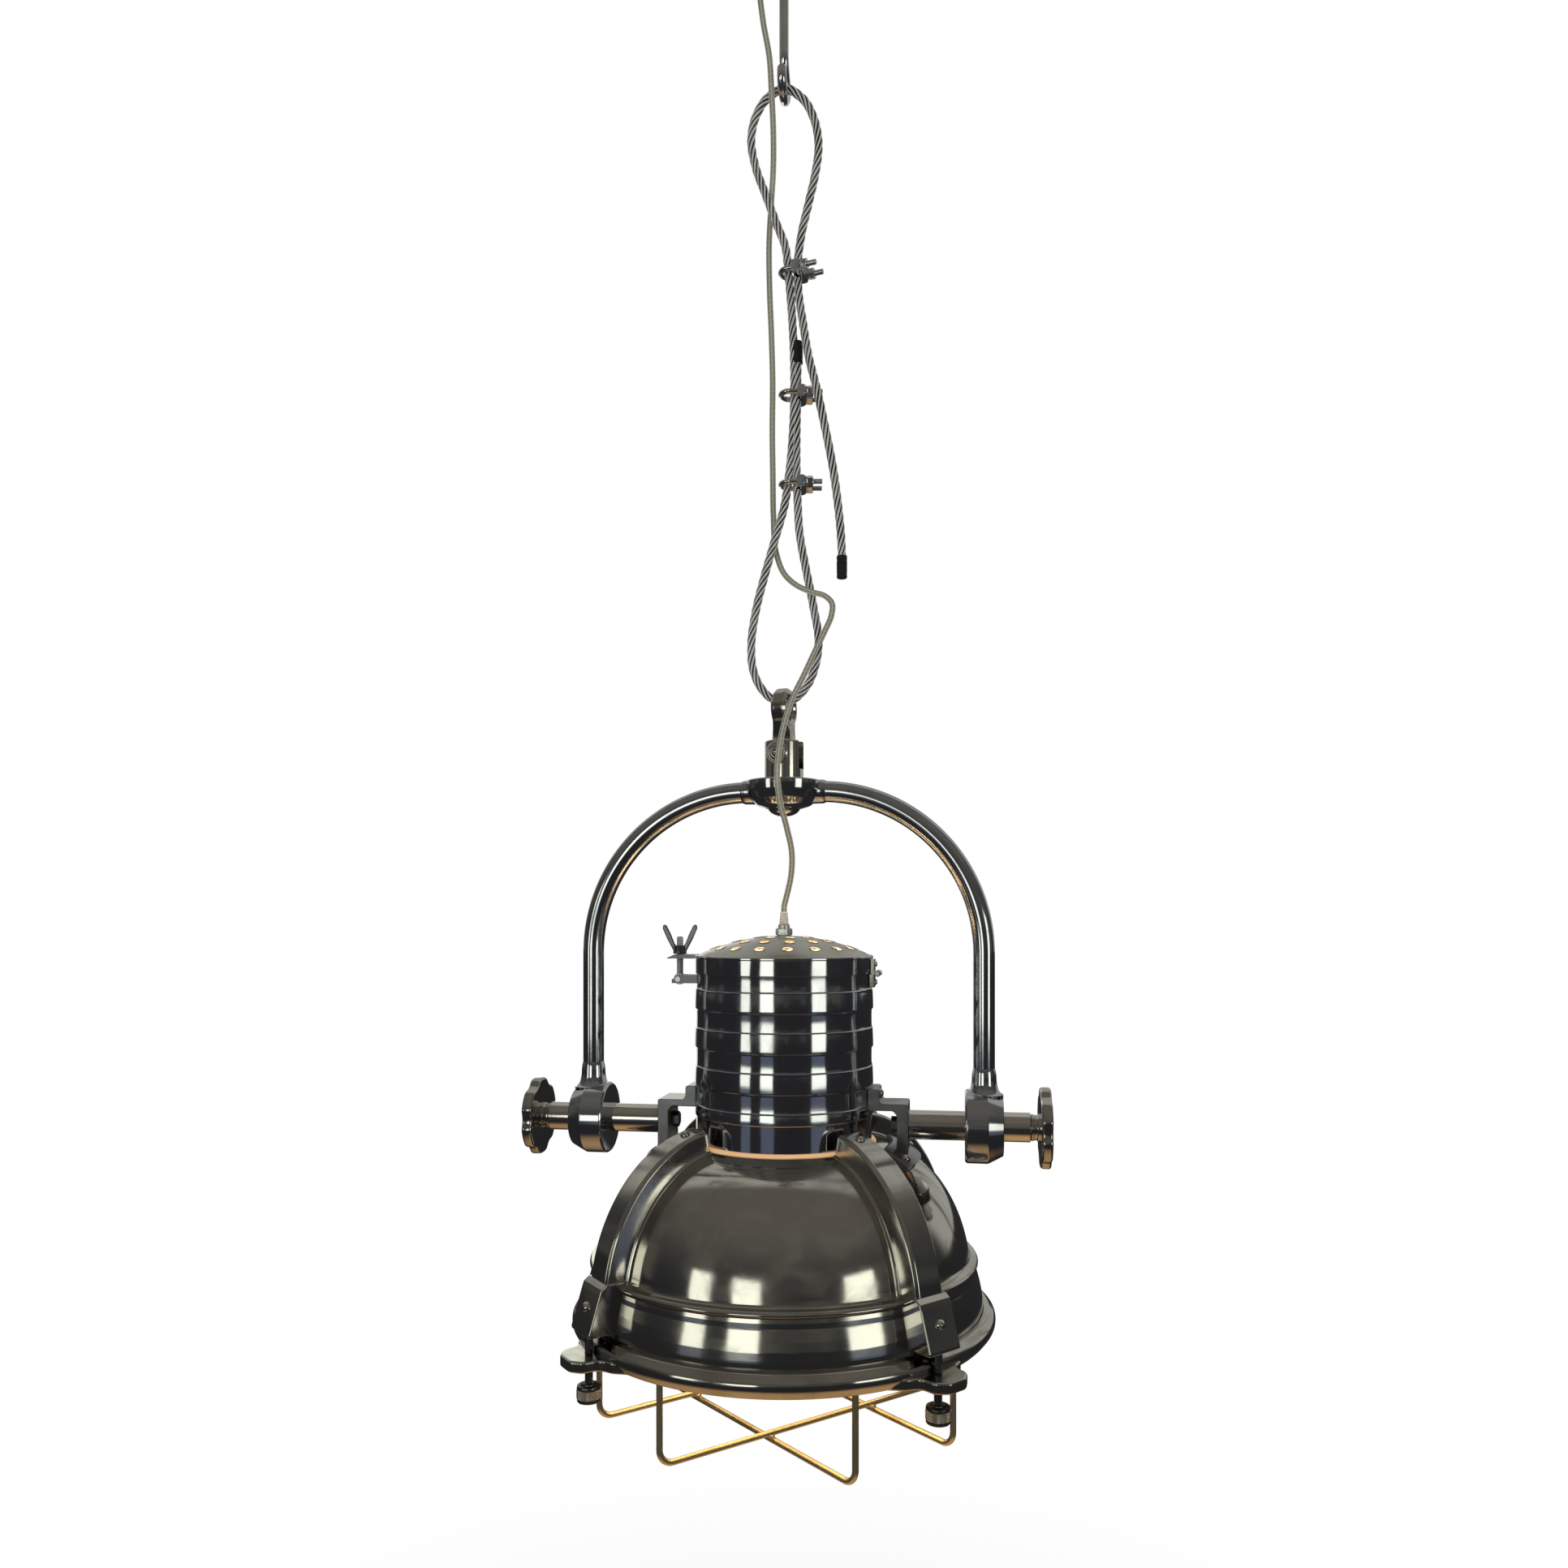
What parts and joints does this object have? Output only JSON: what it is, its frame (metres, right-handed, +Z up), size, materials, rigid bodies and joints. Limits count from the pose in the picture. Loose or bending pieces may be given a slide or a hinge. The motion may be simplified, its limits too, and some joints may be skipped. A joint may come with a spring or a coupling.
{
  "type": "ships pendant lamp",
  "caption": "Ships pendant lamp: polished bell with chimney and wire guard in a tilting bow, hung from a ceiling hook by a clipped wire rope loop.",
  "frame": {"origin": "middle of the ceiling plate, on its back face against the ceiling", "axes": "+Z up, X along the tilt axis of the lamp, -Y towards the front"},
  "size_m": [0.4968, 0.395, 1.3997],
  "materials": {
    "polished_nickel": "polished, with soft waves",
    "zinc_steel": "zinc plated",
    "wire_rope": "galvanised, dark between the strands",
    "black_rubber": "matte",
    "clear_flex": "clear flex over grey cores",
    "white_nylon": "moulded",
    "reflector": "satin",
    "porcelain": "glazed",
    "bulb_glass": "frosted and lit",
    "lens_glass": "clear"
  },
  "bodies": {
    "root": {"ceiling_plate": "zinc_steel", "ceiling_rose": "polished_nickel", "ceiling_hook": "zinc_steel", "hook_nut": "zinc_steel", "rose_collar": "polished_nickel", "rose_collar_screw": "zinc_steel", "rose_cord_grip": "white_nylon", "terminal_block": "white_nylon", "wire_rope": "wire_rope", "rope_end_caps": "black_rubber", "clip_saddles": "zinc_steel", "clip_u_bolts": "zinc_steel", "clip_nuts": "zinc_steel", "power_cord": "clear_flex", "hanging_eye": "polished_nickel"},
    "stem": {"swivel_stem": "polished_nickel", "eye_bolt": "polished_nickel", "eye_bolt_nut": "polished_nickel", "swivel_nut": "zinc_steel"},
    "bow": {"bow": "polished_nickel", "boss_cap": "polished_nickel"},
    "lamp": {"trunnion_left": "polished_nickel", "trunnion_right": "polished_nickel", "trunnion_bolts": "zinc_steel", "bracket_left": "polished_nickel", "bracket_right": "polished_nickel", "bracket_screws": "polished_nickel", "chimney": "polished_nickel", "bell": "polished_nickel", "rib_front_left": "polished_nickel", "rib_front_right": "polished_nickel", "rib_rear_left": "polished_nickel", "rib_rear_right": "polished_nickel", "rib_screws": "polished_nickel", "guard_ring": "polished_nickel", "lens_gaskets": "black_rubber", "glass_lens": "lens_glass", "wire_guard": "polished_nickel", "reflector": "reflector", "lampholder_bracket": "zinc_steel", "lampholder": "porcelain", "bulb": "bulb_glass", "inner_lead": "black_rubber", "lid": "polished_nickel", "cord_gland": "polished_nickel", "lid_leaf": "polished_nickel", "body_leaf": "polished_nickel", "hinge_pin": "polished_nickel", "hinge_screws": "polished_nickel", "latch_fork": "polished_nickel", "latch_lug": "polished_nickel", "latch_pin": "polished_nickel"},
    "knob_left": {"knob_left": "polished_nickel"},
    "knob_right": {"knob_right": "polished_nickel"},
    "thumbscrew_front_left": {"thumbscrew_front_left": "polished_nickel"},
    "thumbscrew_front_right": {"thumbscrew_front_right": "polished_nickel"},
    "thumbscrew_rear_left": {"thumbscrew_rear_left": "polished_nickel"},
    "thumbscrew_rear_right": {"thumbscrew_rear_right": "polished_nickel"},
    "latch": {"swing_bolt": "polished_nickel"},
    "latch_nut": {"wing_nut": "polished_nickel"}
  },
  "joints": [
    {"name": "eye_pivot", "type": "hinge", "parent": "root", "child": "stem", "pos_m": [0, 0, -0.783], "axis": [0.1994, 0.9799, 0], "range_deg": [-35, 35]},
    {"name": "bow_swivel", "type": "hinge", "parent": "stem", "child": "bow", "pos_m": [0, 0, -0.816], "axis": [0, 0, 1], "range_deg": [-180, 180]},
    {"name": "lamp_tilt", "type": "hinge", "parent": "bow", "child": "lamp", "pos_m": [0, 0, -1.13], "axis": [1, 0, 0], "range_deg": [-90, 90], "deforming": ["power_cord"]},
    {"name": "knob_left_turn", "type": "hinge", "parent": "lamp", "child": "knob_left", "pos_m": [-0.22, 0, -1.13], "axis": [-1, 0, 0], "continuous": true},
    {"name": "knob_right_turn", "type": "hinge", "parent": "lamp", "child": "knob_right", "pos_m": [0.22, 0, -1.13], "axis": [1, 0, 0], "continuous": true},
    {"name": "thumbscrew_front_left_turn", "type": "hinge", "parent": "lamp", "child": "thumbscrew_front_left", "pos_m": [-0.14737, -0.13742, -1.31], "axis": [0, 0, 1], "continuous": true},
    {"name": "thumbscrew_front_right_turn", "type": "hinge", "parent": "lamp", "child": "thumbscrew_front_right", "pos_m": [0.14737, -0.13742, -1.31], "axis": [0, 0, 1], "continuous": true},
    {"name": "thumbscrew_rear_left_turn", "type": "hinge", "parent": "lamp", "child": "thumbscrew_rear_left", "pos_m": [-0.14737, 0.13742, -1.31], "axis": [0, 0, 1], "continuous": true},
    {"name": "thumbscrew_rear_right_turn", "type": "hinge", "parent": "lamp", "child": "thumbscrew_rear_right", "pos_m": [0.14737, 0.13742, -1.31], "axis": [0, 0, 1], "continuous": true},
    {"name": "latch_swing", "type": "hinge", "parent": "lamp", "child": "latch", "pos_m": [-0.101, 0, -0.9955], "axis": [0, -1, 0], "range_deg": [0, 100]},
    {"name": "wing_nut_turn", "type": "hinge", "parent": "latch", "child": "latch_nut", "pos_m": [-0.101, 0, -0.968], "axis": [0, 0, 1], "continuous": true}
  ]
}
